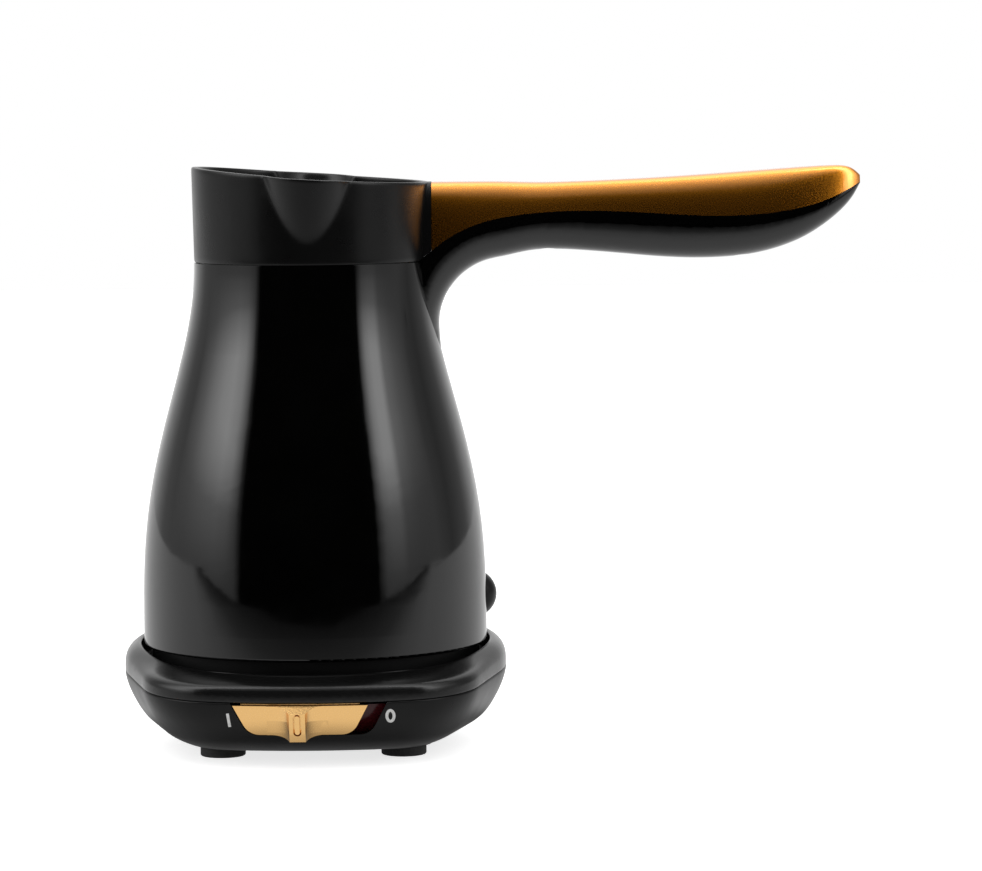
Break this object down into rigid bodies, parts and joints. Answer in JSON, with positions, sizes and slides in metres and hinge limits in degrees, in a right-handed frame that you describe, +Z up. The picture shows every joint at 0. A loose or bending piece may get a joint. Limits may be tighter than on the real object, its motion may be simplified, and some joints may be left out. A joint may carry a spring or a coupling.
{
  "type": "electric turkish coffee maker",
  "caption": "Cordless Turkish coffee pot with a bell-shaped body, pouring collar and long handle, lifting off a round electric base with a slide switch.",
  "frame": {"origin": "on the pot's upright axis, on the table under the base", "axes": "+Z up, +X along the handle, -Y to the front, where the switch is"},
  "size_m": [0.2368, 0.1312, 0.1853],
  "materials": {
    "gloss_black": "gloss",
    "satin_black": "satin",
    "gold": "satin gold paint",
    "red_lens": "gloss, dark red",
    "stainless": "brushed",
    "heater_aluminium": "satin",
    "element_steel": "heat-darkened",
    "brass": "satin",
    "screw_steel": "zinc plated",
    "silicone": "matte",
    "black_rubber": "matte",
    "black_plastic": "matte",
    "pale_plastic": "matte",
    "lamp_glass": "clear",
    "brown_lead": "matte",
    "blue_lead": "matte"
  },
  "bodies": {
    "base": {"base_top": "satin_black", "base_bottom": "satin_black", "indicator_lens": "red_lens", "neon_lamp": "lamp_glass", "ring_contact": "brass", "centre_terminal": "brass", "switch_tabs": "brass", "terminal_clamps": "brass", "base_screws": "screw_steel", "base_connector_screws": "screw_steel", "switch_screws": "screw_steel", "cord_clamp_screws": "screw_steel", "foot_front_left": "black_rubber", "foot_front_right": "black_rubber", "foot_back_left": "black_rubber", "foot_back_right": "black_rubber", "cord_gland": "black_rubber", "base_connector": "black_plastic", "switch_body": "black_plastic", "cord_clamp": "black_plastic", "terminal_block": "pale_plastic", "base_live_lead": "brown_lead", "base_switched_lead": "brown_lead", "base_neutral_lead": "blue_lead"},
    "slider": {"switch_slider": "gold", "slider_carriage": "black_plastic"},
    "knob": {"switch_knob": "pale_plastic"},
    "collet": {"centre_contact": "brass"},
    "pot": {"body_shell": "gloss_black", "pouring_collar": "satin_black", "rear_cap": "satin_black", "bottom_cover": "satin_black", "handle_cover": "gold", "steel_vessel": "stainless", "thermostat_bracket": "stainless", "fuse_clip": "stainless", "heater_plate": "heater_aluminium", "thermal_fuse": "heater_aluminium", "heating_element": "element_steel", "pot_contact_pin": "brass", "pot_contact_ring": "brass", "element_terminals": "brass", "handle_screws": "screw_steel", "bottom_screws": "screw_steel", "pot_connector_screws": "screw_steel", "collar_seal": "silicone", "bottom_seal": "silicone", "pot_connector": "black_plastic", "thermostat": "pale_plastic", "pot_live_lead": "brown_lead", "pot_fuse_lead": "brown_lead", "pot_heater_lead": "brown_lead", "pot_neutral_lead": "blue_lead"}
  },
  "joints": [
    {"name": "slider_travel", "type": "hinge", "parent": "base", "child": "slider", "pos_m": [0, 0.064, 0.015], "axis": [0, 0, 1], "range_deg": [0, 2.29]},
    {"name": "knob_travel", "type": "slide", "parent": "base", "child": "knob", "axis": [1, 0, 0], "range_m": [0, 0.0047]},
    {"name": "pot_turn", "type": "hinge", "parent": "base", "child": "collet", "pos_m": [0, 0, 0.03], "axis": [0, 0, 1], "continuous": true},
    {"name": "pot_lift", "type": "slide", "parent": "collet", "child": "pot", "axis": [0, 0, 1], "range_m": [0, 0.08]}
  ],
  "couplings": [
    {"joint": "knob_travel", "follows": "slider_travel", "m_per_rad": 0.116}
  ]
}
